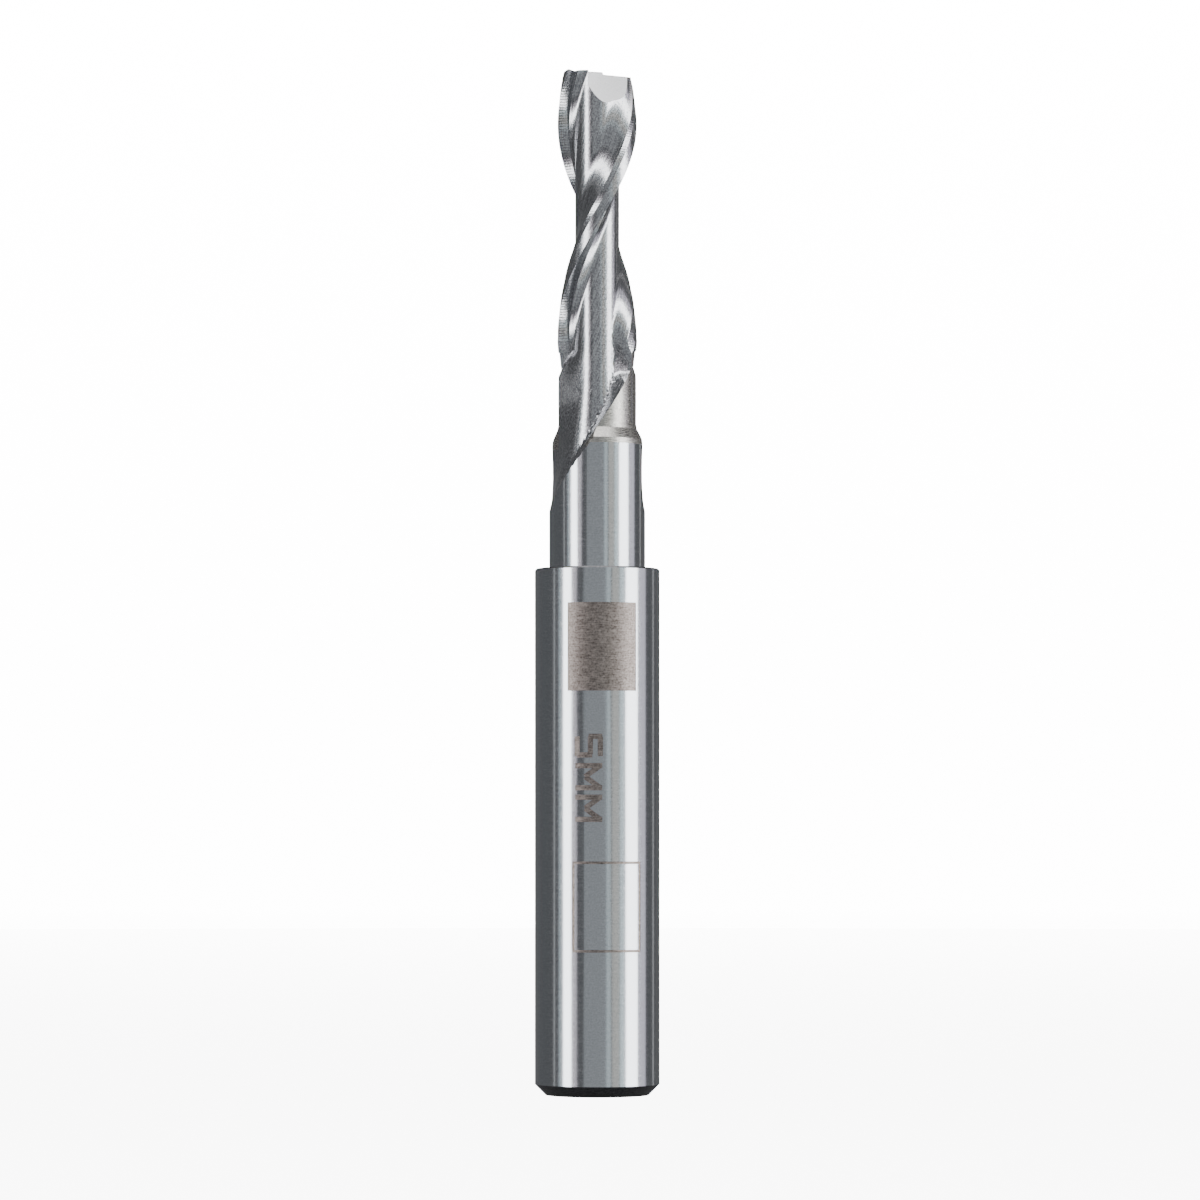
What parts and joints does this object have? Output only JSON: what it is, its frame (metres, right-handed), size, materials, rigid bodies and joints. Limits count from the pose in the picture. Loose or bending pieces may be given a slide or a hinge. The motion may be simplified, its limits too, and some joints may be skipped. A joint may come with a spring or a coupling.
{
  "type": "spiral router bit",
  "caption": "Solid spiral router bit with helical flutes, relieved lands, gashed end teeth, a short neck and a plain round shank with a chamfered end.",
  "frame": {"origin": "centre of the flat end face of the shank", "axes": "+Z along the axis of the bit, from the shank to the cutting end"},
  "size_m": [0.008, 0.008, 0.0655],
  "materials": {
    "ground_carbide": "ground"
  },
  "bodies": {
    "root": {"router_bit": "ground_carbide"}
  },
  "joints": []
}
